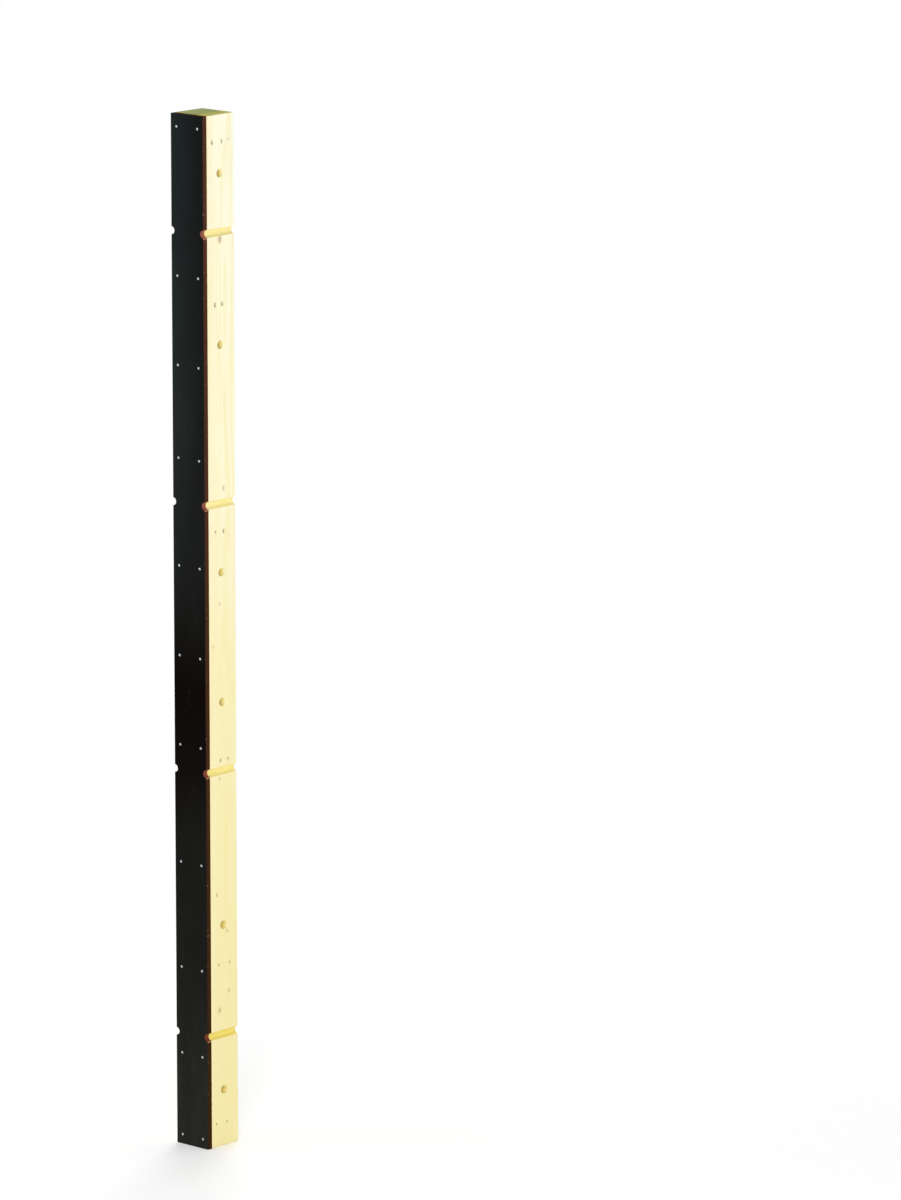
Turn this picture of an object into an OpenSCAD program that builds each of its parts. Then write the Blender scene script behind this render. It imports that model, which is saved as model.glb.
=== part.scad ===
// Narrow infill panel of a timber-framed wall formwork system.
// Film-faced plywood is nailed to two upright stiles, with blocks nailed between them.
// Neighbouring panels stand side by side: wall ties pass through the half-round grooves
// that two side edges share, and connecting bolts pass through the cross holes.
// The forming face looks towards -Y, the panel stands on its lower end, and +Z is up.

/* [Panel] */
// Height of the panel
panel_h = 2700; // [2600:50:3000]
// Width of the forming face
panel_w = 110; // [100:1:130]
// Thickness of the film-faced plywood
ply_t = 15; // [9:1:21]
// Depth of the timber frame behind the plywood
timber_depth = 100; // [90:1:120]

/* [Timber frame] */
// Thickness of each stile, measured across the panel
stile_t = 38; // [32:1:42]
// Chamfer on the back arrises of the stiles
arris = 2; // [0.5:0.5:4]
// Height of the block that closes each end
end_block_h = 120; // [100:1:130]
// Height of each spacer block between the ends
spacer_h = 120; // [90:1:140]
// Distance from the middle of a spacer to the bolt hole above or below it
spacer_offset = 125; // [95:1:150]

/* [Tie grooves] */
// Diameter of the tie passage that two neighbouring panels share
tie_d = 20; // [16:1:26]
// Distance from each end to its nearest groove
tie_inset = 300; // [280:5:330]
// Number of grooves along each side edge
tie_count = 4; // [3:1:5]

/* [Bolt holes] */
// Diameter of the cross holes for the connecting bolts
bolt_d = 22; // [16:1:26]
// Distance of the cross holes behind the forming face
bolt_setback = 62; // [50:1:75]
// Distance from each end to the outer cross hole
bolt_inset_outer = 150; // [145:5:180]
// Distance from each end to the middle cross hole
bolt_inset_middle = 590; // [570:5:620]
// Distance from each end to the inner cross hole
bolt_inset_inner = 1180; // [1150:5:1200]

/* [Nails] */
// Shank diameter of the nails
nail_d = 3; // [2.5:0.1:4]
// Head diameter of the nails in the forming face
face_head_d = 7; // [6:0.5:9]
// Head diameter of the nails in the side edges
edge_head_d = 6; // [5:0.5:8]
// Thickness of a nail head
head_t = 1.2; // [0.8:0.1:2]
// Length of the nails in the forming face
face_nail_len = 45; // [35:1:50]
// Length of the nails in the side edges
edge_nail_len = 60; // [50:1:68]
// Depth that the edge nails are sunk below the timber
edge_nail_sink = 1; // [0.5:0.1:2]

/* [Hidden] */

LEFT = -1;
RIGHT = 1;
SIDES = [LEFT, RIGHT];

nail_clearance = 0.1;
nail_point = 4;
cut_past = 5;
round_fn = 48;
nail_fn = 24;

panel_depth = ply_t + timber_depth;
face_y = -panel_depth / 2;
frame_y = face_y + ply_t;
back_y = panel_depth / 2;
side_x = panel_w / 2;
stile_inner_x = side_x - stile_t;
stile_middle_x = side_x - stile_t / 2;
bolt_y = face_y + bolt_setback;

// Heights of the grooves, evenly spaced between the two end grooves
tie_pitch = (panel_h - 2 * tie_inset) / (tie_count - 1);
tie_heights = [for (i = [0 : tie_count - 1]) tie_inset + i * tie_pitch];

// The cross holes are set out alike from both ends
bolt_insets = [bolt_inset_outer, bolt_inset_middle, bolt_inset_inner];
bolt_heights = [for (inset = bolt_insets) each [inset, panel_h - inset]];

// Blocks from the bottom up: [height of the block's middle, height of the block]
low_spacer_z = bolt_inset_middle - spacer_offset;
mid_spacer_z = bolt_inset_inner - spacer_offset;
BLOCKS = [
  [end_block_h / 2, end_block_h],
  [low_spacer_z, spacer_h],
  [mid_spacer_z, spacer_h],
  [panel_h - mid_spacer_z, spacer_h],
  [panel_h - low_spacer_z, spacer_h],
  [panel_h - end_block_h / 2, end_block_h],
];

// Hand-driven rows of face nails, measured up from the lower end and down from the upper end
ROWS_UP = [25, 245, 475, 755, 1065, 1300];
ROWS_DOWN = [33, 415, 645, 885, 1165];
face_nail_heights = concat(ROWS_UP, [for (drop = ROWS_DOWN) panel_h - drop]);

// Two hand-driven edge nails hold each end of a block, from the bottom up:
// [rise above the block's middle, distance behind the plywood, distance before the back]
EDGE_PAIRS = [
  [2, 18, 42],
  [22, 30, 30],
  [-27, 40, 32],
  [-17, 26, 45],
  [-20, 28, 46],
  [-8, 20, 45],
];
// The nails of the left edge pass between those of the right edge
left_nail_rise = 12;

// Every edge nail as [y, z] for one side
function edge_nail_places(side) = [
  for (i = [0 : len(BLOCKS) - 1])
    let (pair = EDGE_PAIRS[i])
    let (z = BLOCKS[i][0] + pair[0] + (side == LEFT ? left_nail_rise : 0))
    each [[frame_y + pair[1], z], [back_y - pair[2], z]]
];

// A nail on the +Z axis: the top of its head at the origin, its point up
module nail(head_d, length) {
  rotate_extrude($fn = nail_fn)
    polygon([
      [0, 0], [head_d / 2, 0], [head_d / 2, head_t], [nail_d / 2, head_t],
      [nail_d / 2, length - nail_point], [0, length],
    ]);
}

// The hole that a nail makes, open in front of its head
module nail_hole(head_d, length) {
  head_r = head_d / 2 + nail_clearance;
  shank_r = nail_d / 2 + nail_clearance;
  rotate_extrude($fn = nail_fn)
    polygon([
      [0, -cut_past], [head_r, -cut_past], [head_r, head_t], [shank_r, head_t],
      [shank_r, length - nail_point], [0, length + nail_clearance],
    ]);
}

// Sets its children at every face nail of one side, pointing into the timber
module at_face_nails(side) {
  for (z = face_nail_heights)
    translate([side * stile_middle_x, face_y, z])
      rotate([-90, 0, 0])
        children();
}

// Sets its children at every edge nail of one side, pointing into the blocks
module at_edge_nails(side) {
  for (place = edge_nail_places(side))
    translate([side * (side_x - edge_nail_sink), place[0], place[1]])
      rotate([0, -side * 90, 0])
        children();
}

module face_nail_holes(side) {
  at_face_nails(side) nail_hole(face_head_d, face_nail_len);
}

module edge_nail_holes(side) {
  at_edge_nails(side) nail_hole(edge_head_d, edge_nail_len);
}

// Half-round grooves across one side edge, from the forming face to the back
module tie_grooves(side) {
  for (z = tie_heights)
    translate([side * side_x, face_y - cut_past, z])
      rotate([-90, 0, 0])
        cylinder(d = tie_d, h = panel_depth + 2 * cut_past, $fn = round_fn);
}

// Cross holes through one stile
module bolt_holes(side) {
  for (z = bolt_heights)
    translate([side * (stile_inner_x - cut_past), bolt_y, z])
      rotate([0, side * 90, 0])
        cylinder(d = bolt_d, h = stile_t + 2 * cut_past, $fn = round_fn);
}

module facing_panel() {
  color("#1d1f20")
    difference() {
      translate([-side_x, face_y, 0])
        cube([panel_w, ply_t, panel_h]);
      for (side = SIDES) {
        tie_grooves(side);
        face_nail_holes(side);
      }
    }
}

// Section of a stile, from its inner side at x = 0, with chamfered back arrises
module stile_section() {
  polygon([
    [0, 0], [stile_t, 0], [stile_t, timber_depth - arris], [stile_t - arris, timber_depth],
    [arris, timber_depth], [0, timber_depth - arris],
  ]);
}

module stile(side) {
  color("#f3e7b8")
    difference() {
      mirror([side == LEFT ? 1 : 0, 0, 0])
        translate([stile_inner_x, frame_y, 0])
          linear_extrude(panel_h)
            stile_section();
      tie_grooves(side);
      bolt_holes(side);
      face_nail_holes(side);
      edge_nail_holes(side);
    }
}

module left_stile() stile(LEFT);

module right_stile() stile(RIGHT);

// One block of solid timber that fills the space between the stiles
module block(index) {
  middle_z = BLOCKS[index][0];
  height = BLOCKS[index][1];
  color("#ead9a0")
    difference() {
      translate([-stile_inner_x, frame_y, middle_z - height / 2])
        cube([2 * stile_inner_x, timber_depth, height]);
      for (side = SIDES)
        edge_nail_holes(side);
    }
}

module bottom_block() block(0);

module lower_spacer() block(1);

module lower_middle_spacer() block(2);

module upper_middle_spacer() block(3);

module upper_spacer() block(4);

module top_block() block(5);

module face_nails() {
  color("#c9ccce")
    for (side = SIDES)
      at_face_nails(side) nail(face_head_d, face_nail_len);
}

module edge_nails(side) {
  color("#8f8f8c")
    at_edge_nails(side) nail(edge_head_d, edge_nail_len);
}

module left_edge_nails() edge_nails(LEFT);

module right_edge_nails() edge_nails(RIGHT);

facing_panel();
left_stile();
right_stile();
bottom_block();
lower_spacer();
lower_middle_spacer();
upper_middle_spacer();
upper_spacer();
top_block();
face_nails();
left_edge_nails();
right_edge_nails();
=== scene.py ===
"""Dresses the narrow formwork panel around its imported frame, and sets up its plain studio.

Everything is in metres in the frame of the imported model: the panel stands on its lower end at
z = 0, its forming face looks towards -Y, and its width runs along X.
"""
import logging
import math
import random
from dataclasses import dataclass, replace
from enum import Enum
from functools import partial
from itertools import pairwise
from typing import Any, Callable, Sequence

import bmesh
import bpy
from bpy.types import Material, NodeSocket, NodeTree, Object
from mathutils import Matrix, Vector


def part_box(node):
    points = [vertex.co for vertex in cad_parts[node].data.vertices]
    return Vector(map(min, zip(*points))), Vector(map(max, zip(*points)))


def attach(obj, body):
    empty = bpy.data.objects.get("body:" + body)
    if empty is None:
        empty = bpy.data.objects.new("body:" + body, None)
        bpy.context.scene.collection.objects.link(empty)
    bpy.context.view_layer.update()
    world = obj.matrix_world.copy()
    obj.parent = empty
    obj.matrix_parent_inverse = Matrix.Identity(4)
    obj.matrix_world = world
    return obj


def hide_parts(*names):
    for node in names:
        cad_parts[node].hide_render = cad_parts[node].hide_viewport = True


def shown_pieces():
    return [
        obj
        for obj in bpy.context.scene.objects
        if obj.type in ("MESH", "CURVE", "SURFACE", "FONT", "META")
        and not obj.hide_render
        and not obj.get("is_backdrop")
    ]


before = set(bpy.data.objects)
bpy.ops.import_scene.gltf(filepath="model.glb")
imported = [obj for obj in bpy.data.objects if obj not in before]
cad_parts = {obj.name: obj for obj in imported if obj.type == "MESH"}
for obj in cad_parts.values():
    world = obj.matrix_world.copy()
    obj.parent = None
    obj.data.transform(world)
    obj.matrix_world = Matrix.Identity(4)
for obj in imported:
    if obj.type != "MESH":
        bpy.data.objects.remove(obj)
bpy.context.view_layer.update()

LOG = logging.getLogger("formwork_panel")
MM = 0.001
PANEL_HEIGHT = 2700 * MM
# The ties between two panels pass at these heights.
TIE_HEIGHTS = (0.3, 1.0, 1.7, 2.4)
# How far a cutter stands out of what it cuts.
CUT_PAST = 5 * MM
# A wave texture repeats its bands every 0.314 units at a scale of one.
WAVE_PERIOD = 0.314
# Wood, resin and acrylic all have about this IOR. A metal keeps Blender's default.
WOOD_AND_RESIN_IOR = 1.5
# Edges sharper than the first angle are broken, and those past the second stay crisp.
BREAK_ANGLE = math.radians(40)
CRISP_ANGLE = math.radians(38)

Colour = tuple[float, float, float, float]
Adder = Callable[..., NodeSocket]


class Side(Enum):
    """A side edge of the panel, with the sign of its X."""

    LEFT = -1
    RIGHT = 1


class Lamp(Enum):
    """The lamps of the studio: place, aim, edge length and power."""

    KEY = ((4.5, -5.36, 2.3), (0.0, 0.0, 1.5), 2.5, 318.0)
    FILL = ((-4.5, -5.0, 3.0), (0.0, 0.0, 1.4), 4.0, 90.0)
    BACK = ((-3.5, 5.5, 4.0), (0.0, 0.0, 1.4), 4.0, 250.0)


class SawMarks(Enum):
    """How the saw's lines run, with the direction of the wave texture that draws them."""

    ACROSS_GRAIN = "Z"
    SLANTED = "DIAGONAL"


# ---------------- colour and nodes


def paint(code: str) -> Colour:
    """Turns an sRGB hex colour into the linear colour that Blender's sockets take.

    Args:
        code: The colour as "#rrggbb".

    Returns:
        Linear red, green and blue, and an alpha of one.
    """
    shares = [int(code[i : i + 2], 16) / 255 for i in (1, 3, 5)]
    red, green, blue = (
        s / 12.92 if s <= 0.04045 else ((s + 0.055) / 1.055) ** 2.4 for s in shares
    )
    return red, green, blue, 1.0


def grey(level: float) -> Colour:
    """Returns the linear grey of a share."""
    return level, level, level, 1.0


def add_node(
    tree: NodeTree,
    kind: str,
    inputs: Sequence[Any] | dict[int | str, Any] = (),
    stops: Sequence[tuple[float, float]] = (),
    out: int | str = 0,
    **settings: Any,
) -> NodeSocket | None:
    """Adds a shader node with its settings, its values and its links.

    Args:
        tree: The node tree that takes the node.
        kind: The node's Blender type, after its "ShaderNode".
        inputs: What feeds the inputs, in their order or by index or name: an output, a value
            or a hex colour. A map range takes its value, the ends of the range that this
            lies in, and what those two turn into.
        stops: Places and grey levels of a ramp, its two ends first.
        out: Index or name of the output to hand back.
        **settings: Properties of the node, by name.

    Returns:
        The chosen output, or None from a node without outputs.
    """
    made = tree.nodes.new("ShaderNode" + kind)
    for name, value in settings.items():
        setattr(made, name, value)
    fed = inputs if isinstance(inputs, dict) else dict(enumerate(inputs))
    for key, value in fed.items():
        if isinstance(value, NodeSocket):
            tree.links.new(value, made.inputs[key])
        else:
            made.inputs[key].default_value = paint(value) if isinstance(value, str) else value
    for index, (place, level) in enumerate(stops):
        ramp = made.color_ramp.elements
        stop = ramp[index] if index < 2 else ramp.new(place)
        stop.position, stop.color = place, grey(level)
    return made.outputs[out] if made.outputs else None


class Swatch:
    """A material in the making.

    It knows what adds its nodes, the point on the piece as a vector and as X, Y and Z, and
    how far up that is as a share of the panel's height.
    """

    def __init__(self, name: str) -> None:
        """Starts a material that holds only the point on the piece.

        Args:
            name: The material's name.
        """
        self.material = bpy.data.materials.new(name)
        self.material.use_nodes = True
        self.material.node_tree.nodes.clear()
        self.add: Adder = partial(add_node, self.material.node_tree)
        self.place = self.add("TexCoord", out="Object")
        self.x, self.y, self.z = self.add("SeparateXYZ", (self.place,)).node.outputs
        self.up = self.add("Math", (self.z, PANEL_HEIGHT), operation="DIVIDE")

    def grain(
        self,
        width: float,
        length: float,
        detail: float = 2.0,
        rough: float = 0.5,
        lean: float = 0.0,
        at: NodeSocket | None = None,
        out: str = "Fac",
    ) -> NodeSocket:
        """Draws noise whose grains have a real size, and are drawn out along Z.

        Args:
            width: A grain's size along X and Y.
            length: Its size along Z.
            detail: How many finer layers the noise has.
            rough: How strong those are.
            lean: How far the grains lean from Z towards X, in radians.
            at: The point to read it at, if not the one on the piece.
            out: The output to hand back, "Fac" or "Color".

        Returns:
            The noise at the point.
        """
        size = {"Rotation": (0.0, lean, 0.0), "Scale": (width, width, length)}
        point = self.place if at is None else at
        scaled = self.add("Mapping", {"Vector": point} | size, vector_type="TEXTURE")
        inputs = {"Vector": scaled, "Scale": 1.0, "Detail": detail, "Roughness": rough}
        return self.add("TexNoise", inputs, out=out)

    def lay(
        self, ground: NodeSocket | str, *layers: tuple[NodeSocket | float, NodeSocket | str]
    ) -> NodeSocket:
        """Lays tones over a ground colour, one after another.

        Args:
            ground: The colour at the bottom.
            *layers: The share that each tone covers, and the tone.

        Returns:
            The colour on top.
        """
        for share, tone in layers:
            inputs = {0: share, 6: ground, 7: tone}
            ground = self.add("Mix", inputs, out=2, data_type="RGBA")
        return ground

    def close(
        self,
        colour: NodeSocket,
        rough: NodeSocket | float,
        height: NodeSocket,
        relief: float,
        strength: float = 1.0,
        gloss: float = 0.5,
        metal: float = 0.0,
    ) -> Material:
        """Closes the material with its relief and its shader.

        Args:
            colour: The base colour.
            rough: The roughness.
            height: The relief's height, as a share.
            relief: What a share of one stands proud.
            strength: How much of the relief shows.
            gloss: The specular level.
            metal: One for bare metal.

        Returns:
            The finished material.
        """
        bump = self.add("Bump", {"Strength": strength, "Distance": relief, "Height": height})
        inputs = {"Base Color": colour, "Roughness": rough, "Normal": bump}
        inputs |= {"Specular IOR Level": gloss, "Metallic": metal}
        if not metal:
            inputs["IOR"] = WOOD_AND_RESIN_IOR
        self.add("OutputMaterial", (self.add("BsdfPrincipled", inputs),))
        return self.material


# ---------------- finishes


@dataclass(frozen=True)
class Mark:
    """A knot that runs straight through a stile, or a stain that soaked in round a nail."""

    height: float
    depth: float
    radius: float
    dark: float


@dataclass(frozen=True)
class SpruceFinish:
    """Spruce sawn from a log: growth rings round a pith, fibres along Z, knots and stains.

    Planing leaves the pale early wood matt and the late wood lines a little darker and
    harder. Boring tears the fibres, so its surface is deeper in colour and rougher, and
    inside a bolt hole a painted shade darkens the wood with depth. A saw leaves its marks
    across the grain, and the open pores of an end take up all gloss.
    """

    name: str
    pale: str
    lower_tone: str
    late: str
    pith: tuple[float, float]
    ring: float = 3.4 * MM
    ring_share: float = 0.34
    streak_share: float = 0.52
    fibre_share: float = 0.16
    # Heartwood is a warm strip next to the plywood, and fades out between these two Y.
    warm: str = "#fbe8c8"
    warm_share: float = 0.0
    warm_strip: tuple[float, float] = (-0.044, -0.010)
    # Share of the lower tone at a few heights, as a share of the panel's height.
    lower_tone_by_height: tuple[tuple[float, float], ...] = (
        (0.0, 0.68), (1.0, 0.0), (0.36, 0.58), (0.58, 0.28), (0.72, 0.10)
    )
    # Painted shade deep inside a hole, which fades in between these distances from the panel's
    # middle.
    deep: str = ""
    hole_shade_reach: tuple[float, float] = (0.053, 0.041)
    gloss: float = 0.35
    roughness: float = 0.62
    relief: float = 0.12 * MM
    saw_pitch: float = 0.0
    saw_marks: SawMarks = SawMarks.ACROSS_GRAIN
    knots: tuple[Mark, ...] = ()
    stains: tuple[Mark, ...] = ()
    rust: str = "#66653f"
    knot_halo: str = "#d0ab66"
    knot: str = "#937043"
    bark: str = "#553d21"

    def build(self) -> Material:
        """Builds the material.

        Returns:
            The finished material.
        """
        swatch = Swatch(self.name)
        add = swatch.add
        rings, radius = self._rings(swatch)
        # A fibre is some 0.03 mm wide, too fine to show, so bundles of about 1 mm are drawn.
        fibres = swatch.grain(1.1 * MM, 55 * MM)
        colour = self._colour(swatch, rings, self._streaks(swatch, radius), fibres)
        height = add("Math", (rings, 0.6, fibres), operation="MULTIPLY_ADD")
        if self.saw_pitch:
            # The saw's lines waver a little.
            bands = {"Vector": swatch.place, "Scale": WAVE_PERIOD / self.saw_pitch}
            bands |= {"Distortion": 3.0, "Detail": 2.0}
            saw = add("TexWave", bands, out="Fac", bands_direction=self.saw_marks.value)
            height = add("Math", (saw, 0.7, height), operation="MULTIPLY_ADD")
        # Late wood is denser, so it is a little smoother.
        early, late = self.roughness + 0.06, self.roughness - 0.08
        rough = add("MapRange", (rings, 0.0, 1.0, early, late))
        return swatch.close(colour, rough, height, self.relief, gloss=self.gloss)

    def _spread(
        self, swatch: Swatch, marks: Sequence[Mark], near: float, far: float
    ) -> NodeSocket | float:
        """Adds up marks, each longer along the grain than across it.

        Args:
            swatch: The material in the making.
            marks: The knots or stains.
            near: How far from its middle a mark is full, in radii.
            far: Where it is gone, in radii.

        Returns:
            The share of mark at the point.
        """
        if not marks:
            return 0.0
        add = swatch.add
        # The outlines wander by about a millimetre.
        wander = swatch.grain(7 * MM, 7 * MM, out="Color")
        centred = add("VectorMath", (wander, (0.5, 0.5, 0.5)), operation="SUBTRACT")
        reach = (3.4 * MM, 3.4 * MM, 5.5 * MM)
        ragged = add("VectorMath", (centred, reach, swatch.place), operation="MULTIPLY_ADD")
        total: NodeSocket | float = 0.0
        for mark in marks:
            middle = (0.0, mark.depth, mark.height)
            offset = add("VectorMath", (ragged, middle), operation="SUBTRACT")
            squeeze = (0.0, 1 / mark.radius, 0.62 / mark.radius)
            radii = add("VectorMath", (offset, squeeze), operation="MULTIPLY")
            away = add("VectorMath", (radii,), out="Value", operation="LENGTH")
            inputs = (away, near, far, mark.dark, 0.0)
            share = add("MapRange", inputs, interpolation_type="SMOOTHSTEP")
            total = add("Math", (total, share), operation="MAXIMUM")
        return total

    def _rings(self, swatch: Swatch) -> tuple[NodeSocket, NodeSocket]:
        """Draws the growth rings: cylinders round the pith, with slow waves along Z.

        Args:
            swatch: The material in the making.

        Returns:
            The share of late wood, and the distance from the pith.
        """
        add = swatch.add
        # The log grew in slow waves, some 90 cm long, and leans a little.
        wave = swatch.grain(71 * MM, 910 * MM, out="Color")
        swing = (16 * MM, 16 * MM, 0.0)
        bend = add("VectorMath", (wave, swing, swatch.place), operation="MULTIPLY_ADD")
        middle = (-self.pith[0], -self.pith[1], 0.0)
        lean = (math.radians(0.35), math.radians(-0.25), 0.0)
        across = add("Mapping", {"Vector": bend, "Location": middle, "Rotation": lean})
        flat = add("VectorMath", (across, (1.0, 1.0, 0.0)), operation="MULTIPLY")
        radius = add("VectorMath", (flat,), out="Value", operation="LENGTH")
        # The rings flow round each knot, by up to one and a half of them.
        knots = self._spread(swatch, self.knots, 0.4, 3.4)
        flow = add("Math", (knots, 3.5), operation="MULTIPLY")
        count = add("Math", (radius, 1 / self.ring, flow), operation="MULTIPLY_ADD")
        share = add("Math", (count,), operation="FRACT")
        # Early wood fades slowly into late wood, which ends sharply at the winter line.
        stops = [(0.0, 0.0), (1.0, 0.0), (0.45, 0.06), (0.80, 0.75), (0.93, 1.0)]
        return add("ValToRGB", (share,), stops), radius

    def _streaks(self, swatch: Swatch, radius: NodeSocket) -> NodeSocket:
        """Draws broad bands of fast and slow growth, 8 to 20 mm wide, along the board.

        Args:
            swatch: The material in the making.
            radius: Distance from the pith.

        Returns:
            A share from 0 to 1.
        """
        at = swatch.add("CombineXYZ", (radius, 0.0, swatch.z))
        bands = swatch.grain(10.5 * MM, 770 * MM, 3.0, 0.6, at=at)
        return swatch.add("MapRange", (bands, 0.34, 0.68))

    def _colour(
        self, swatch: Swatch, rings: NodeSocket, streaks: NodeSocket, fibres: NodeSocket
    ) -> NodeSocket:
        """Mixes the wood's colour from its tones, and lays the knots and stains over it.

        Args:
            swatch: The material in the making.
            rings: Share of late wood.
            streaks: Share of the broad bands.
            fibres: Noise of the fibres.

        Returns:
            The colour at the point.
        """
        add = swatch.add
        # The board is deeper in colour towards the lower end.
        lower_tone_share = add("ValToRGB", (swatch.up,), self.lower_tone_by_height)
        heart = add("MapRange", (swatch.y, *self.warm_strip, self.warm_share, 0.0))
        grown = [
            (add("Math", (share, strength), operation="MULTIPLY"), self.late)
            for share, strength in (
                (rings, self.ring_share),
                (streaks, self.streak_share),
                (fibres, self.fibre_share),
            )
        ]
        whole = self._spread(swatch, self.knots, 0.94, 1.08)
        core = self._spread(swatch, self.knots, 0.70, 0.92)
        # The bark round a dead knot is a thin dark rim.
        rim = add("Math", (whole, core), operation="SUBTRACT")
        colour = swatch.lay(
            self.pale,
            (lower_tone_share, self.lower_tone),
            (heart, self.warm),
            *grown,
            (self._spread(swatch, self.stains, 0.5, 1.6), self.rust),
            (self._spread(swatch, self.knots, 0.9, 2.7), self.knot_halo),
            (whole, self.knot),
            (rim, self.bark),
        )
        # Painted shade: the wood of a hole darkens with its depth into the stile.
        if self.deep:
            across = add("Math", (swatch.x,), operation="ABSOLUTE")
            inside = add("MapRange", (across, *self.hole_shade_reach))
            colour = swatch.lay(colour, (inside, self.deep))
        return colour


@dataclass(frozen=True)
class FilmFinish:
    """Phenolic film pressed hot onto birch plywood.

    It is near-black and satin, and the veneer under it telegraphs faintly along the sheet.
    Release oil leaves a haze that is thickest at the lower end, dust greys the upper left,
    and handling leaves hairline scuffs. The haze and the dust also carry a painted
    reflection of the pale studio, which lightens the film at its two ends and to the left
    in its upper half.
    """

    name: str = "pressed phenolic film"
    film: str = "#060201"
    oil_and_low_reflection: str = "#252722"
    dust_and_high_reflection: str = "#1e2627"
    scuff: str = "#4c504f"
    veneer_width: float = 9.0 * MM
    relief: float = 0.05 * MM
    gloss: float = 0.015
    # Share of haze and painted reflection at a few heights, as a share of the panel's height.
    haze_and_reflection: tuple[tuple[float, float], ...] = (
        (0.0, 0.80), (1.0, 0.42), (0.11, 0.58), (0.19, 0.36), (0.30, 0.31),
        (0.37, 0.06), (0.45, 0.0), (0.56, 0.36), (0.70, 0.50),
    )
    # The scuffs that go one way: lean in radians, length, and where in the clouds they lie.
    scuffs: tuple[tuple[float, float, float, float], ...] = (
        (0.15, 70 * MM, 0.54, 0.66), (-0.60, 40 * MM, 0.47, 0.36)
    )

    def build(self) -> Material:
        """Builds the material.

        Returns:
            The finished material.
        """
        swatch = Swatch(self.name)
        veneer = swatch.grain(self.veneer_width, 450 * MM, 5.0, 0.66)
        cloud = swatch.grain(62 * MM, 285 * MM, 5.0, 0.65)
        scuffed = (self._scuffed(swatch, cloud), self.scuff)
        colour = swatch.lay(self._haze_and_painted_reflection(swatch, cloud), scuffed)
        rough = swatch.add("MapRange", (cloud, 0.3, 0.7, 0.34, 0.50))
        return swatch.close(colour, rough, veneer, self.relief, 0.8, gloss=self.gloss)

    def _haze_and_painted_reflection(self, swatch: Swatch, cloud: NodeSocket) -> NodeSocket:
        """Lays oil haze and dust, with a painted reflection of the studio, over the bare film.

        Args:
            swatch: The material in the making.
            cloud: Noise that breaks up the haze.

        Returns:
            The colour at the point.
        """
        add = swatch.add
        # The haze also stands in for a painted reflection of the studio, strongest at the two ends
        # of the sheet.
        haze_and_reflection = add("ValToRGB", (swatch.up,), self.haze_and_reflection)
        # In the upper half the dust and the painted reflection thin out from the left edge
        # to the right one.
        low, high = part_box("facing_panel")
        left_dust_and_reflection = add("MapRange", (swatch.x, low.x, high.x, 0.55, -0.45))
        upper = add("MapRange", (swatch.z, 1.30, 1.85))
        lean = add("Math", (left_dust_and_reflection, upper, 1.0), operation="MULTIPLY_ADD")
        mottled = add("MapRange", (cloud, 0.3, 0.7, 0.76, 1.24))
        for share in (lean, mottled):
            haze_and_reflection = add("Math", (haze_and_reflection, share), operation="MULTIPLY")
        # Painted reflection: the lower tone is oil with the floor's reflection, the upper one dust
        # with a bluish reflection.
        tone = swatch.lay(self.oil_and_low_reflection, (swatch.up, self.dust_and_high_reflection))
        return swatch.lay(self.film, (haze_and_reflection, tone))

    def _scuffed(self, swatch: Swatch, cloud: NodeSocket) -> NodeSocket:
        """Draws sparse hairline scuffs, which lean one way or the other off the vertical.

        Args:
            swatch: The material in the making.
            cloud: Noise that gathers the scuffs in patches.

        Returns:
            The share of scuff at the point.
        """
        add = swatch.add
        total: NodeSocket | float = 0.0
        # A real scuff is about 0.2 mm wide, and is drawn up to 1.5 mm wide so that it shows.
        for lean, length, near, far in self.scuffs:
            lines = swatch.grain(1.5 * MM, length, 1.0, lean=lean)
            thin = add("MapRange", (lines, 0.69, 0.78, 0.0, 0.55))
            patches = add("MapRange", (cloud, near, far))
            total = add("Math", (thin, patches, total), operation="MULTIPLY_ADD")
        return total


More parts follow.
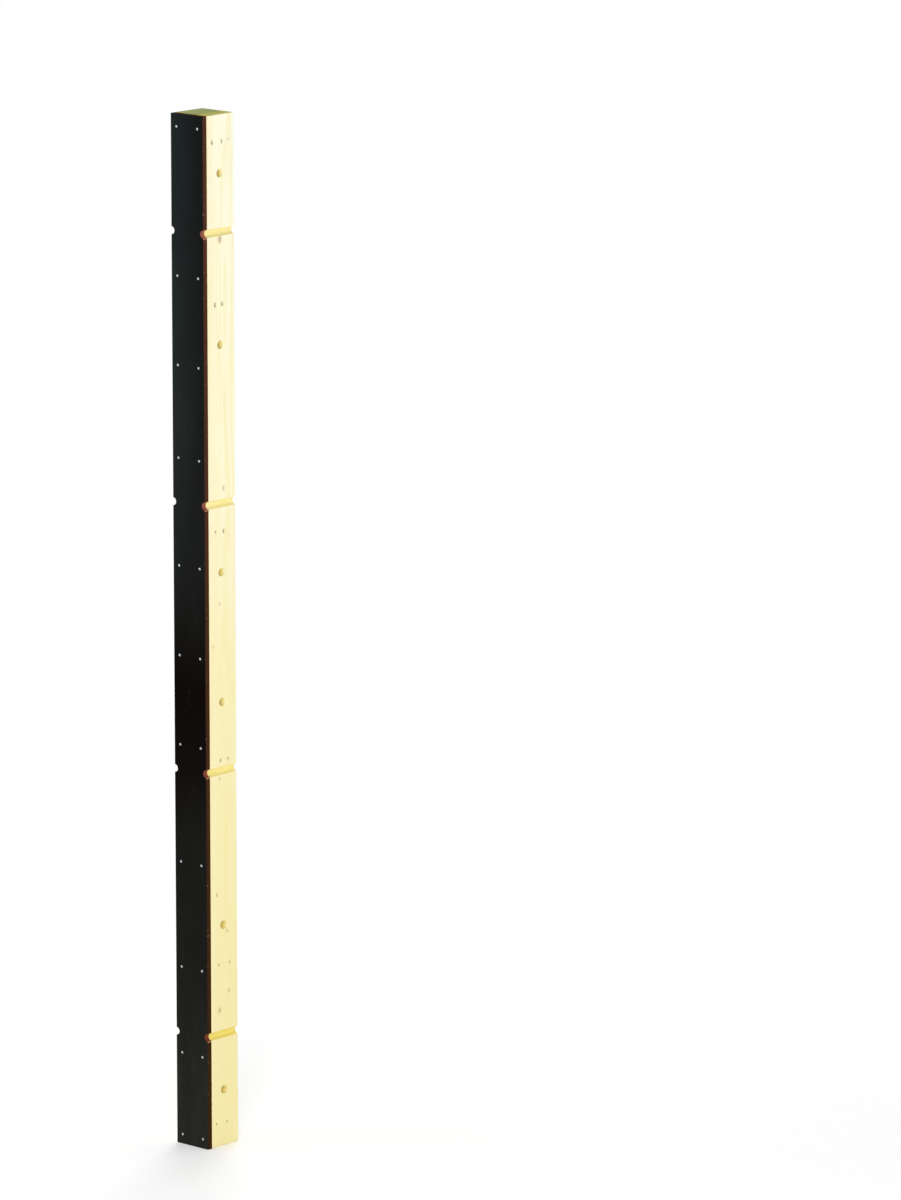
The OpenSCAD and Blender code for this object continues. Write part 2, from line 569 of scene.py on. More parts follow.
@dataclass(frozen=True)
class PlyEdgeFinish:
    """A cut edge of the plywood, with its veneers in layers through the thickness.

    The sealed edge is brushed with brown acrylic, greyer towards the film, and is paler in a
    rim just outside the notches. The bored notch is bare, so its veneers show light and
    dark. Both are darker towards the lower end. The front and the rear each have a colour for
    the upper end and one for the lower.
    """

    name: str
    front: tuple[str, str]
    rear: tuple[str, str]
    dark: str
    layer_share: float
    roughness: float
    gloss: float
    chip: str = ""
    pale_rim: str = ""
    veneer: float = 1.36 * MM
    relief: float = 0.15 * MM

    def build(self) -> Material:
        """Builds the material.

        Returns:
            The finished material.
        """
        swatch = Swatch(self.name)
        add = swatch.add
        low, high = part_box("facing_panel")
        thickness = high.y - low.y
        behind = add("Math", (swatch.y, low.y), operation="SUBTRACT")
        saw = swatch.grain(2.5 * MM, 18 * MM, 3.0)
        # Every other veneer shows its end grain.
        layer = add("Math", (behind, 2 * self.veneer), operation="DIVIDE")
        turned = add("Math", (layer, 0.5), operation="PINGPONG")
        cross_grain, blend = (
            add("MapRange", inputs, interpolation_type="SMOOTHSTEP")
            for inputs in (
                (turned, 0.2, 0.3),
                (behind, 0.25 * thickness, 0.6 * thickness),
            )
        )
        # Both edges are darker towards the lower end.
        lower_end_share = add("MapRange", (swatch.z, 0.1, 0.9 * PANEL_HEIGHT, 1.0, 0.0))
        front, rear = (
            swatch.lay(upper, (lower_end_share, lower)) for upper, lower in (self.front, self.rear)
        )
        patchy = add("Math", (cross_grain, saw), operation="MULTIPLY")
        amount = add("Math", (patchy, self.layer_share), operation="MULTIPLY")
        colour = swatch.lay(front, (blend, rear), (amount, self.dark))
        if self.chip:
            # Here and there the sealer has chipped off.
            bare = add("MapRange", (swatch.grain(3.5 * MM, 8 * MM), 0.71, 0.74))
            colour = swatch.lay(colour, (bare, self.chip))
        # A pale rim runs just outside each notch, more of it below.
        if self.pale_rim:
            colour = swatch.lay(colour, (self._pale_rims(swatch, saw), self.pale_rim))
        raised = add("Math", (cross_grain, 0.5, saw), operation="MULTIPLY_ADD")
        return swatch.close(colour, self.roughness, raised, self.relief, gloss=self.gloss)

    def _pale_rims(self, swatch: Swatch, saw: NodeSocket) -> NodeSocket:
        """Draws the pale rim just outside the notches, more of it below them.

        Args:
            swatch: The material in the making.
            saw: Noise that frays the rim.

        Returns:
            The share of pale rim at the point.
        """
        add = swatch.add
        # The ping-pong over half the notches' spacing gives the distance to the nearest one.
        first, second = TIE_HEIGHTS[:2]
        shifted = add("Math", (swatch.z, first - 1.3 * MM), operation="SUBTRACT")
        away = add("Math", (shifted, (second - first) / 2), operation="PINGPONG")
        frayed = add("Math", (saw, -5 * MM, away), operation="MULTIPLY_ADD")
        return add("MapRange", (frayed, 10.5 * MM, 9.0 * MM, 0.0, 0.85))


@dataclass(frozen=True)
class NailSteelFinish:
    """Drawn steel wire, cold-headed into a nail: shiny, with dull pits in its skin."""

    name: str
    bright: str
    dull: str
    roughness: float
    # Real pits are a tenth of this or less, which is too fine to show.
    pit: float = 0.7 * MM
    relief: float = 0.06 * MM

    def build(self) -> Material:
        """Builds the material.

        Returns:
            The finished material.
        """
        swatch = Swatch(self.name)
        pits = swatch.grain(self.pit, self.pit, 3.0, 0.7)
        colour = swatch.lay(self.bright, (pits, self.dull))
        smooth, pitted = self.roughness - 0.1, self.roughness + 0.15
        rough = swatch.add("MapRange", (pits, 0.0, 1.0, smooth, pitted))
        return swatch.close(colour, rough, pits, self.relief, 0.6, metal=1.0)


# ---------------- modelling by hand


def clear_selection() -> None:
    """Leaves nothing selected, because the CAD nodes are selected after loading."""
    if bpy.context.mode != "OBJECT":
        bpy.ops.object.mode_set(mode="OBJECT")
    bpy.ops.object.select_all(action="DESELECT")


def take_up(piece: Object) -> None:
    """Makes one piece the only selected one and the active one.

    Args:
        piece: The piece.
    """
    clear_selection()
    piece.select_set(True)
    bpy.context.view_layer.objects.active = piece


def settle(piece: Object) -> None:
    """Moves a piece's place, turn and scale into its mesh."""
    take_up(piece)
    bpy.ops.object.transform_apply(location=True, rotation=True, scale=True)


def add_board(name: str, low: Vector, high: Vector) -> Object:
    """Adds a board between two corners.

    Args:
        name: The piece's name.
        low: Its lowest corner.
        high: Its highest corner.

    Returns:
        The board, with its place in its mesh.
    """
    clear_selection()
    bpy.ops.mesh.primitive_cube_add(size=1, location=(low + high) / 2, scale=high - low)
    board = bpy.context.active_object
    board.name = board.data.name = name
    settle(board)
    return board


def add_rods(
    radius: float, spans: Sequence[tuple[Vector, Vector]], sides: int, material: Material
) -> list[Object]:
    """Adds round rods as cutters.

    Args:
        radius: Their radius.
        spans: The middles of each rod's two ends.
        sides: How many flat sides they have.
        material: What they leave on the surface that they cut.

    Returns:
        The rods, each with its place in its mesh.
    """
    rods = []
    for start, end in spans:
        clear_selection()
        along = end - start
        bpy.ops.mesh.primitive_cylinder_add(
            vertices=sides,
            radius=radius,
            depth=along.length,
            location=(start + end) / 2,
            rotation=along.to_track_quat("Z", "Y").to_euler(),
        )
        rod = bpy.context.active_object
        rod.data.materials.append(material)
        settle(rod)
        rods.append(rod)
    return rods


def join(pieces: Sequence[Object], name: str) -> Object:
    """Joins pieces into one object.

    Args:
        pieces: The pieces, which are used up.
        name: The name of the result.

    Returns:
        The joined object.
    """
    clear_selection()
    for piece in pieces:
        piece.select_set(True)
    joined = pieces[0]
    bpy.context.view_layer.objects.active = joined
    bpy.ops.object.join()
    joined.name = joined.data.name = name
    return joined


def apply_modifier(piece: Object, kind: str, **settings: Any) -> None:
    """Adds a modifier with its settings and applies it.

    Args:
        piece: The piece that it changes.
        kind: The modifier's Blender type.
        **settings: Its properties, by name.
    """
    take_up(piece)
    modifier = piece.modifiers.new(kind.lower(), kind)
    for name, value in settings.items():
        setattr(modifier, name, value)
    bpy.ops.object.modifier_apply(modifier=modifier.name)


def bore(piece: Object, rods: Sequence[Object]) -> None:
    """Cuts rods out of a piece, and leaves their material on the cut surface.

    Args:
        piece: The board that is bored.
        rods: The cutters, which are used up.
    """
    cutter = join(rods, "cutter")
    apply_modifier(
        piece,
        "BOOLEAN",
        operation="DIFFERENCE",
        object=cutter,
        solver="EXACT",
        material_mode="TRANSFER",
    )
    bpy.data.objects.remove(cutter, do_unlink=True)


def dress_faces(piece: Object, material: Material, chosen: Callable[[Vector], bool]) -> None:
    """Gives a material to the faces whose normal a test picks.

    Args:
        piece: The piece.
        material: The material, which is added to the piece's slots.
        chosen: Says whether a face with this normal takes it.
    """
    piece.data.materials.append(material)
    index = len(piece.data.materials) - 1
    for face in piece.data.polygons:
        if chosen(face.normal):
            face.material_index = index


def finish_edges(piece: Object, width: float) -> None:
    """Breaks all sharp edges a little and shades the piece smooth between them.

    Args:
        piece: The piece.
        width: How far each edge is broken.
    """
    apply_modifier(
        piece, "BEVEL", width=width, segments=2, limit_method="ANGLE", angle_limit=BREAK_ANGLE
    )
    take_up(piece)
    bpy.ops.object.shade_smooth_by_angle(angle=CRISP_ANGLE)
    # The broad faces rule the shading, so that they stay flat up to their broken edges.
    apply_modifier(piece, "WEIGHTED_NORMAL", weight=100, keep_sharp=True)


def turn_on_lathe(profile: Sequence[tuple[float, float]], sides: int) -> Object:
    """Draws a round shape out of a circle, ring by ring along Z.

    Args:
        profile: Radius and height of each ring, from one end to the other.
        sides: How many sides each ring has.

    Returns:
        The closed shape, with its normals outwards.
    """
    clear_selection()
    first_radius, first_height = profile[0]
    bpy.ops.mesh.primitive_circle_add(
        vertices=sides, radius=first_radius, fill_type="NGON", location=(0, 0, first_height)
    )
    shape = bpy.context.active_object
    settle(shape)
    bpy.ops.object.mode_set(mode="EDIT")
    bpy.ops.mesh.select_mode(type="FACE")
    bpy.ops.mesh.select_all(action="SELECT")
    for (radius, height), (next_radius, next_height) in pairwise(profile):
        bpy.ops.mesh.extrude_region_move(
            TRANSFORM_OT_translate={"value": (0, 0, next_height - height)}
        )
        share = next_radius / radius
        bpy.ops.transform.resize(value=(share, share, 1), center_override=(0, 0, next_height))
    # Extruding a lone face leaves it behind, so the first end is closed already.
    bpy.ops.mesh.select_all(action="SELECT")
    bpy.ops.mesh.normals_make_consistent(inside=False)
    bpy.ops.object.mode_set(mode="OBJECT")
    return shape


def copy_to(model: Object, place: Matrix) -> Object:
    """Copies a piece with its own mesh and puts the copy's place into that mesh.

    Args:
        model: The piece to copy.
        place: Where the copy goes.

    Returns:
        The copy.
    """
    take_up(model)
    bpy.ops.object.duplicate(linked=False)
    copy = bpy.context.active_object
    copy.matrix_world = place
    settle(copy)
    return copy


def hand_over(piece: Object, node: str) -> None:
    """Puts a finished piece into the frame in the place of its CAD node.

    Args:
        piece: The finished piece.
        node: The CAD node that it stands for.
    """
    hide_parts(node)
    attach(piece, "root")


# ---------------- sub-assemblies


@dataclass
class Borings:
    """Where the panel is bored, as its source sets it out."""

    tie_radius: float = 10 * MM
    tie_sides: int = 72
    bolt_heights: tuple[float, ...] = (0.15, 0.59, 1.18, 1.52, 2.11, 2.55)
    bolt_radius: float = 11 * MM
    bolt_setback: float = 62 * MM
    bolt_sides: int = 64

    def tie_rods(self, side: Side, low: Vector, high: Vector, material: Material) -> list[Object]:
        """Adds the cutters of the half-round grooves along one side edge.

        Args:
            side: The side edge.
            low: Lowest corner of the board.
            high: Highest corner of the board.
            material: What the cut surface gets.

        Returns:
            The cutters.
        """
        x = side.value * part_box("right_stile")[1].x
        front, back = low.y - CUT_PAST, high.y + CUT_PAST
        spans = [(Vector((x, front, z)), Vector((x, back, z))) for z in TIE_HEIGHTS]
        return add_rods(self.tie_radius, spans, self.tie_sides, material)

    def bolt_rods(self, low: Vector, high: Vector, material: Material) -> list[Object]:
        """Adds the cutters of the cross holes through one stile.

        Args:
            low: Lowest corner of the stile.
            high: Highest corner of the stile.
            material: What the cut surface gets.

        Returns:
            The cutters.
        """
        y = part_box("facing_panel")[0].y + self.bolt_setback
        left, right = low.x - CUT_PAST, high.x + CUT_PAST
        spans = [(Vector((left, y, z)), Vector((right, y, z))) for z in self.bolt_heights]
        return add_rods(self.bolt_radius, spans, self.bolt_sides, material)


@dataclass
class Nailing:
    """The nails: their sizes and where they were driven."""

    face_rows: tuple[float, ...] = (
        0.025, 0.245, 0.475, 0.755, 1.065, 1.300, 1.535, 1.815, 2.055, 2.285, 2.667,
    )
    face_head: float = 3.5 * MM
    face_length: float = 45 * MM
    edge_head: float = 3.0 * MM
    edge_length: float = 60 * MM
    edge_sink: float = 1.0 * MM
    shank: float = 1.5 * MM
    head_thickness: float = 1.2 * MM
    sides: int = 28
    crisp_angle: float = math.radians(50)
    # A seat is this much wider all round than its head, and this much deeper.
    seat_gap: float = 0.1 * MM
    seat_floor: float = 0.2 * MM
    seat_sides: int = 32
    # Hand driving tilts a nail by up to this many degrees, and sets its head this far in.
    tilt: float = 1.6
    set_in: float = 0.12 * MM
    # Starts of the random tilts, so that each run is alike.
    face_seed: int = 11
    edge_seed: int = 23
    left_rise: float = 12 * MM
    block_middles: tuple[float, ...] = (0.060, 0.465, 1.055, 1.645, 2.235, 2.640)
    # Rise over the block's middle, way behind the plywood and way before the back.
    pairs: tuple[tuple[float, float, float], ...] = (
        (0.002, 0.018, 0.042),
        (0.022, 0.030, 0.030),
        (-0.027, 0.040, 0.032),
        (-0.017, 0.026, 0.045),
        (-0.020, 0.028, 0.046),
        (-0.008, 0.020, 0.045),
    )

    def face_places(self) -> list[Vector]:
        """Finds the middle of every head in the forming face.

        Returns:
            The points on that face.
        """
        front_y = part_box("facing_panel")[0].y
        low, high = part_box("right_stile")
        column = (low.x + high.x) / 2
        return [Vector((side.value * column, front_y, z)) for side in Side for z in self.face_rows]

    def edge_places(self, side: Side) -> list[Vector]:
        """Finds the middle of every seat's mouth in one side edge.

        Args:
            side: The side edge.

        Returns:
            The points on the surface of that edge.
        """
        low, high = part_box("right_stile")
        rise = self.left_rise if side is Side.LEFT else 0.0
        return [
            Vector((side.value * high.x, y, middle + up + rise))
            for middle, (up, behind, before) in zip(self.block_middles, self.pairs)
            for y in (low.y + behind, high.y - before)
        ]

    def seat_rods(
        self,
        places: Sequence[Vector],
        inward: Vector,
        head: float,
        sink: float,
        material: Material,
    ) -> list[Object]:
        """Adds the cutters of nail seats.

        Args:
            places: The middles of the seats' mouths.
            inward: The direction into the wood.
            head: Radius of the nails' heads.
            sink: How far the heads are sunk.
            material: What the cut surface gets.

        Returns:
            The cutters.
        """
        deep = sink + self.head_thickness + self.seat_floor
        spans = [(place - inward * CUT_PAST, place + inward * deep) for place in places]
        return add_rods(head + self.seat_gap, spans, self.seat_sides, material)

    def nail_model(self, head: float, length: float) -> Object:
        """Shapes one nail: a flat-domed head with a soft rim, a neck, a shank and a point.

        Args:
            head: Radius of its head.
            length: Its length under the top of the head.

        Returns:
            The nail on the Z axis, with the top of its head at the origin and its point up.
        """
        thick, shank = self.head_thickness, self.shank
        profile = [
            (0.30 * head, 0.02 * MM),
            (0.62 * head, 0.07 * MM),
            (0.86 * head, 0.20 * MM),
            (0.97 * head, 0.42 * MM),
            (head, 0.70 * MM),
            (0.96 * head, 0.95 * thick),
            (1.35 * shank, thick + 0.1 * MM),
            (shank, thick + 1.0 * MM),
            (shank, length - 4.0 * MM),
            (0.62 * shank, length - 1.6 * MM),
            (0.12 * shank, length),
        ]
        return turn_on_lathe(profile, self.sides)

    def drive(
        self, name: str, model: Object, places: Sequence[Vector], inward: Vector, seed: int
    ) -> Object:
        """Copies a nail to each place, with the small tilts of hand driving.

        Args:
            name: The name of the piece that the nails make up.
            model: The nail, which is used up.
            places: Where the tops of the heads go.
            inward: The direction in which the nails point.
            seed: Start of the random tilts.

        Returns:
            The nails, shaded smooth but for the step under the head.
        """
        hand = random.Random(seed)
        aim = inward.to_track_quat("Z", "Y").to_matrix().to_4x4()
        driven = []
        for place in places:
            spot = Matrix.Translation(place + inward * self.set_in) @ aim
            for axis in "XY":
                angle = math.radians(hand.uniform(-self.tilt, self.tilt))
                spot = spot @ Matrix.Rotation(angle, 4, axis)
            spin = Matrix.Rotation(hand.uniform(0, math.tau), 4, "Z")
            driven.append(copy_to(model, spot @ spin))
        bpy.data.objects.remove(model, do_unlink=True)
        nails = join(driven, name)
        take_up(nails)
        bpy.ops.object.shade_smooth_by_angle(angle=self.crisp_angle)
        return nails

    def build(self, bright: Material, dull: Material) -> None:
        """Builds all the nails.

        Args:
            bright: The steel of the face nails.
            dull: The steel of the edge nails.
        """
        model = self.nail_model(self.face_head, self.face_length)
        inward, seed = Vector((0, 1, 0)), self.face_seed
        nails = self.drive("bright_face_nails", model, self.face_places(), inward, seed)
        nails.data.materials.append(bright)
        hand_over(nails, "face_nails")
        for side in Side:
            node = f"{side.name.lower()}_edge_nails"
            inward, seed = Vector((-side.value, 0, 0)), self.edge_seed + side.value
            model = self.nail_model(self.edge_head, self.edge_length)
            heads = [place + inward * self.edge_sink for place in self.edge_places(side)]
            nails = self.drive(f"sunk_{node}", model, heads, inward, seed)
            nails.data.materials.append(dull)
            hand_over(nails, node)


@dataclass
class FormingSheet:
    """The film-faced plywood that shapes the concrete."""

    borings: Borings
    nailing: Nailing
    edge_break: float = 0.4 * MM

    def build(self, film: Material, sealed_edge: Material, bare_ply: Material) -> None:
        """Builds the sheet with its notches and nail seats.

        Args:
            film: The finish of its two faces.
            sealed_edge: The finish of its sawn edges.
            bare_ply: The finish of what was bored after sealing.
        """
        low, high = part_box("facing_panel")
        sheet = add_board("film_faced_sheet", low, high)
        sheet.data.materials.append(film)
        dress_faces(sheet, sealed_edge, lambda normal: abs(normal.y) < 0.5)
        rods = [rod for side in Side for rod in self.borings.tie_rods(side, low, high, bare_ply)]
        nails, inward = self.nailing, Vector((0, 1, 0))
        rods += nails.seat_rods(nails.face_places(), inward, nails.face_head, 0.0, sealed_edge)
        bore(sheet, rods)
        finish_edges(sheet, self.edge_break)
        hand_over(sheet, "facing_panel")


@dataclass
class Stile:
    """One upright of the timber frame."""

    side: Side
    borings: Borings
    nailing: Nailing
    arris: float = 2.0 * MM
    edge_break: float = 0.6 * MM

    def build(
        self, planed: Material, end_grain: Material, grooved: Material, bored: Material
    ) -> None:
        """Builds the stile with its grooves, cross holes and nail seats.

        Args:
            planed: The finish of its long faces.
            end_grain: The finish of its ends.
            grooved: The finish of its tie grooves.
            bored: The finish of its holes and nail seats.
        """
        word = self.side.name.lower()
        low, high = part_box(f"{word}_stile")
        stile = add_board(f"spruce_{word}_stile", low, high)
        self._chamfer_back(stile, high.y)
        stile.data.materials.append(planed)
        dress_faces(stile, end_grain, lambda normal: abs(normal.z) > 0.5)
        rods = self.borings.tie_rods(self.side, low, high, grooved)
        rods += self.borings.bolt_rods(low, high, bored)
        nails, inward = self.nailing, Vector((-self.side.value, 0, 0))
        places = nails.edge_places(self.side)
        rods += nails.seat_rods(places, inward, nails.edge_head, nails.edge_sink, bored)
        bore(stile, rods)
        finish_edges(stile, self.edge_break)
        hand_over(stile, f"{word}_stile")

    def _chamfer_back(self, stile: Object, back_y: float) -> None:
        """Rounds the two long arrises at the back, in edit mode.

        Args:
            stile: The plain board.
            back_y: Where its back is.
        """
        take_up(stile)
        bpy.ops.object.mode_set(mode="EDIT")
        bpy.ops.mesh.select_mode(type="EDGE")
        bpy.ops.mesh.select_all(action="DESELECT")
        for edge in bmesh.from_edit_mesh(stile.data).edges:
            start, end = (corner.co for corner in edge.verts)
            upright = abs(start.z - end.z) > 1
            edge.select_set(upright and min(start.y, end.y) > back_y - MM)
        bmesh.update_edit_mesh(stile.data)
        bpy.ops.mesh.bevel(offset=self.arris, segments=3, affect="EDGES")
        bpy.ops.object.mode_set(mode="OBJECT")


@dataclass
class Spacers:
    """The blocks between the stiles, all cut from one batten."""

    edge_break: float = 0.8 * MM
    nodes: tuple[str, ...] = (
        "bottom_block", "lower_spacer", "lower_middle_spacer",
        "upper_middle_spacer", "upper_spacer", "top_block",
    )

    def build(self, sawn: Material, end_grain: Material, weathered: Material) -> None:
        """Builds one block and copies it to every place.

        Args:
            sawn: The finish of the long faces.
            end_grain: The finish of the cut ends.
            weathered: The finish of the ends of the top block, which the rain reaches.
        """
        low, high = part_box("bottom_block")
        model = add_board("batten_block", low, high)
        model.data.materials.append(sawn)
        dress_faces(model, end_grain, lambda normal: abs(normal.z) > 0.5)
        finish_edges(model, self.edge_break)
        for node in self.nodes:
            block = copy_to(model, Matrix.Translation(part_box(node)[0] - low))
            block.name = block.data.name = f"batten_{node}"
            if node == "top_block":
                block.data.materials[1] = weathered
            hand_over(block, node)
        bpy.data.objects.remove(model, do_unlink=True)


# ---------------- studio


@dataclass
class Studio:
    """The camera, the lamps, the pale floor and the white surroundings."""

    camera_place: tuple[float, float, float] = (12.7004, -13.4725, 5.3591)
    camera_turn: tuple[float, float, float] = (78.0456, -0.0783, 41.3786)
    lens: float = 221.436
    sensor: float = 36.0
    far_clip: float = 400.0
    floor_size: float = 240.0
    floor_drop: float = 0.2 * MM
    floor_grey: float = 0.86
    floor_lift: float = 0.18
    shadow_reach: tuple[float, float] = (0.5, 4.0)
    world_light: float = 0.55

    def place_camera(self) -> None:
        """Puts the camera far off and well above the panel's upper end, on a long lens."""
        data = bpy.data.cameras.new("studio_camera")
        data.sensor_fit = "VERTICAL"
        data.sensor_height = self.sensor
        data.lens = self.lens
        data.clip_end = self.far_clip
        camera = bpy.data.objects.new("studio_camera", data)
        bpy.context.scene.collection.objects.link(camera)
        camera.location = self.camera_place
        camera.rotation_euler = [math.radians(angle) for angle in self.camera_turn]
        bpy.context.scene.camera = camera

    def hang_lamps(self) -> None:
        """Hangs the square soft lamps, each aimed at the panel."""
        for lamp in Lamp:
            place, aim, edge, power = lamp.value
            data = bpy.data.lights.new(f"{lamp.name.lower()}_lamp", "AREA")
            data.shape = "SQUARE"
            data.size = edge
            data.energy = power
            hung = bpy.data.objects.new(data.name, data)
            bpy.context.scene.collection.objects.link(hung)
            hung.location = place
            toward = Vector(aim) - Vector(place)
            hung.rotation_euler = toward.to_track_quat("-Z", "Y").to_euler()

    def seen_directly(self, add: Adder) -> NodeSocket:
        """Tells the rays that show a surface from those that only light others.

        Args:
            add: What adds nodes to the material or the world.

        Returns:
            1 for camera, glossy and transmission rays, and 0 for others.
        """
        seen = add("LightPath", out="Is Camera Ray")
        for ray in ("Is Glossy Ray", "Is Transmission Ray"):
            seen = add("Math", (seen, add("LightPath", out=ray)), operation="MAXIMUM")
        return seen

    def light_world(self) -> None:
        """Makes the surroundings white to look at, and dimmer as a light."""
        world = bpy.data.worlds.new("white_studio")
        bpy.context.scene.world = world
        world.use_nodes = True
        world.node_tree.nodes.clear()
        add = partial(add_node, world.node_tree)
        dim, white = (
            add("Background", (grey(1.0), strength)) for strength in (self.world_light, 1.0)
        )
        add("OutputWorld", (add("MixShader", (self.seen_directly(add), dim, white)),))

    def lay_floor(self) -> None:
        """Lays a pale floor that keeps the panel's shadow and turns white further out."""
        clear_selection()
        bpy.ops.mesh.primitive_plane_add(size=self.floor_size, location=(0, 0, -self.floor_drop))
        floor = bpy.context.active_object
        floor.name = floor.data.name = "studio_floor"
        settle(floor)
        swatch = Swatch("matt white studio floor")
        add = swatch.add
        reach = add("VectorMath", (swatch.place,), out="Value", operation="LENGTH")
        fade = add("MapRange", (reach, *self.shadow_reach), interpolation_type="SMOOTHSTEP")
        seen = self.seen_directly(add)
        amount = add("Math", (fade, seen), operation="MULTIPLY")
        glow = add("Math", (seen, self.floor_lift), operation="MULTIPLY")
        lift, white = (add("Emission", (grey(1.0), strength)) for strength in (glow, 1.0))
        shaded = add("AddShader", (add("BsdfDiffuse", (grey(self.floor_grey),)), lift))
        add("OutputMaterial", (add("MixShader", (amount, shaded, white)),))
        floor.data.materials.append(swatch.material)
        floor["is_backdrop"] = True

    def build(self) -> None:
        """Sets up the whole studio, the camera first."""
        self.place_camera()
        self.light_world()
        self.hang_lamps()
        self.lay_floor()
        bpy.context.scene.view_settings.view_transform = "Standard"
        LOG.info("studio: camera, %d lamps, floor and world", len(Lamp))


# ---------------- the panel's own finishes


# Most of the knots are pin knots: height, place across, radius and darkness.
KNOTS = {
    Side.RIGHT: (
        Mark(2.381, 0.004, 4.4 * MM, 0.38),
        Mark(2.634, 0.036, 2.6 * MM, 0.16),
        Mark(1.738, 0.013, 2.8 * MM, 0.25),
        Mark(1.438, -0.004, 2.4 * MM, 0.20),
        Mark(1.330, -0.030, 3.0 * MM, 0.12),
        Mark(0.980, -0.007, 2.4 * MM, 0.22),
        Mark(0.6735, -0.020, 2.2 * MM, 0.34),
        Mark(0.5725, 0.018, 2.4 * MM, 0.25),
        Mark(0.411, 0.024, 2.6 * MM, 0.30),
        Mark(0.365, -0.011, 3.4 * MM, 0.35),
    ),
    Side.LEFT: (
        Mark(0.520, 0.010, 4.5 * MM, 0.40),
        Mark(0.910, -0.022, 3.5 * MM, 0.30),
        Mark(1.420, 0.027, 5.0 * MM, 0.42),
        Mark(1.930, -0.008, 3.5 * MM, 0.30),
        Mark(2.480, 0.016, 4.0 * MM, 0.36),
    ),
}
# How far the rust of each edge nail has soaked in, from the bottom up.
SOAKED = (0.06, 0.12, 0.12, 0.10, 0.30, 0.25, 0.30, 0.92, 0.95, 0.88, 0.85, 0.80)
# A cross-cut end has the saw's marks and open pores without gloss.
CROSS_CUT: dict[str, Any] = {
    "warm_share": 0.0,
    "gloss": 0.0,
    "roughness": 0.85,
    "relief": 0.3 * MM,
    "saw_pitch": 3.0 * MM,
    "saw_marks": SawMarks.SLANTED,
    "knots": (),
    "stains": (),
}


def stile_finishes(side: Side, nailing: Nailing) -> tuple[Material, ...]:
    """Builds the finishes of one stile, all from the same board.

    Args:
        side: The stile's side.
        nailing: The nails, which have stained the upper part of the board.

    Returns:
        Its planed faces, its cross-cut ends, its grooves and its bored holes.
    """
    word = side.name.lower()
    stains = tuple(
        Mark(place.z - 1.0 * MM, place.y, 3.3 * MM, dark)
        for place, dark in zip(nailing.edge_places(side), SOAKED)
    )
    planed = SpruceFinish(
        name=f"planed spruce, {word} stile",
        pale="#fffeec",
        lower_tone="#e9dc90",
        late="#f0e196",
        pith=(side.value * 0.150, 0.021),
        warm_share=0.35,
        knots=KNOTS[side],
        stains=stains,
    )
    # Rain and algae have turned the ends olive, the left one more than the right one.
    golden = side is Side.RIGHT
    ends = replace(
        planed,
        name=f"cross-cut spruce, {word} stile",
        pale="#e6e085" if golden else "#c8cf92",
        lower_tone="#dccf7e" if golden else "#c9c286",
        late="#a2a14e" if golden else "#929558",
        ring_share=0.55,
        streak_share=0.35,
        **CROSS_CUT,
    )
    # Torn fibres and sap give a bored groove a deep gold, deepest near the ground.
    grooved = replace(
        planed,
        name=f"bored groove in spruce, {word} stile",
        pale="#fefaca",
        lower_tone="#ecdc6e",
        late="#ebd06a",
        lower_tone_by_height=((0.0, 1.0), (1.0, 0.25), (0.11, 0.95), (0.37, 0.58), (0.63, 0.29)),
        ring_share=0.30,
        streak_share=0.40,
        warm_share=0.0,
        roughness=0.78,
        relief=0.35 * MM,
        knots=(),
        stains=(),
    )
    bored = replace(
        grooved,
        name=f"bored hole in spruce, {word} stile",
        pale="#fffce0",
        lower_tone="#f0e29a",
        late="#efdc8a",
        # The deep colour is a painted shade inside the hole.
        deep="#efdd86",
    )
    return tuple(finish.build() for finish in (planed, ends, grooved, bored))


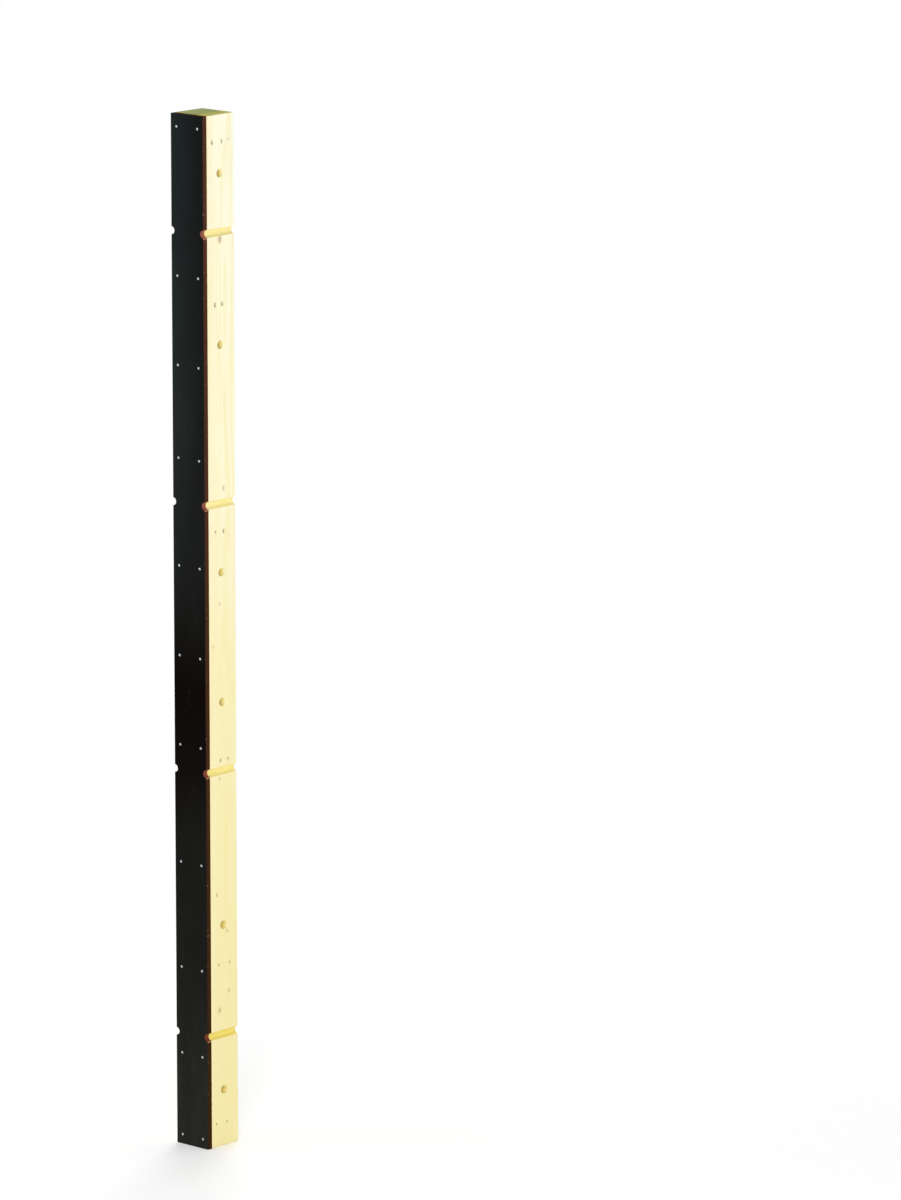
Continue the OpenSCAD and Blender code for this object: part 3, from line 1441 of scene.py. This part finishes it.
def batten_finishes() -> tuple[Material, ...]:
    """Builds the finishes of the blocks, all from one batten.

    Returns:
        Their sawn faces, their cross-cut ends and the weathered ends of the top one.
    """
    # A band saw leaves lines across the grain and lifts the fibres.
    sawn = SpruceFinish(
        name="band-sawn spruce batten",
        pale="#f3e2b0",
        lower_tone="#ecd592",
        late="#d3ab66",
        pith=(0.060, -0.080),
        ring=2.6 * MM,
        fibre_share=0.35,
        roughness=0.80,
        relief=0.4 * MM,
        saw_pitch=2.4 * MM,
    )
    ends = replace(
        sawn,
        name="cross-cut spruce batten",
        pale="#dfca94",
        lower_tone="#d6b97c",
        late="#ab8748",
        ring_share=0.60,
        **CROSS_CUT,
    )
    # Rain and algae have turned the open end grain at the top olive.
    weathered = replace(
        ends, name="weathered spruce batten", pale="#cad090", lower_tone="#cdc486", late="#929558"
    )
    return tuple(finish.build() for finish in (sawn, ends, weathered))


def ply_finishes() -> tuple[Material, ...]:
    """Builds the finishes of the sheet.

    Returns:
        Its film, its sealed edges and its bared veneers.
    """
    # The sawn edges were brushed with acrylic, and the notches bored after that.
    sealed = PlyEdgeFinish(
        name="acrylic-sealed plywood edge",
        front=("#4b3026", "#392416"),
        rear=("#573220", "#3b2608"),
        dark="#26140b",
        layer_share=0.50,
        roughness=0.55,
        gloss=0.0,
        chip="#a8846f",
        # The pale rim just outside the notches.
        pale_rim="#a97c5c",
    )
    bare = PlyEdgeFinish(
        name="bored bare plywood",
        front=("#9b5a54", "#702e26"),
        rear=("#ad6b50", "#7e360a"),
        dark="#4a1c12",
        layer_share=0.7,
        roughness=0.75,
        gloss=0.15,
    )
    return tuple(finish.build() for finish in (FilmFinish(), sealed, bare))


def nail_finishes() -> tuple[Material, ...]:
    """Builds the finishes of the nails.

    Returns:
        The bright steel of the face nails and the dull steel of the edge nails.
    """
    # Scraping the forming face clean keeps its nail heads bright. The others turn dull.
    bright = NailSteelFinish("bright drawn nail steel", "#c2c5c7", "#9b9fa1", 0.48)
    dull = NailSteelFinish("dull zinc nail steel", "#c6c096", "#a39d70", 0.55)
    return bright.build(), dull.build()


def main() -> None:
    """Builds the studio and every piece of the panel, in the order of assembly."""
    logging.basicConfig(level=logging.INFO, format="%(name)s: %(message)s")
    Studio().build()
    borings, nailing = Borings(), Nailing()
    FormingSheet(borings, nailing).build(*ply_finishes())
    for side in Side:
        Stile(side, borings, nailing).build(*stile_finishes(side, nailing))
    Spacers().build(*batten_finishes())
    nailing.build(*nail_finishes())
    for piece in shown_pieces():
        LOG.info("%s is in place, with %d faces", piece.name, len(piece.data.polygons))


if __name__ == "__main__":
    main()
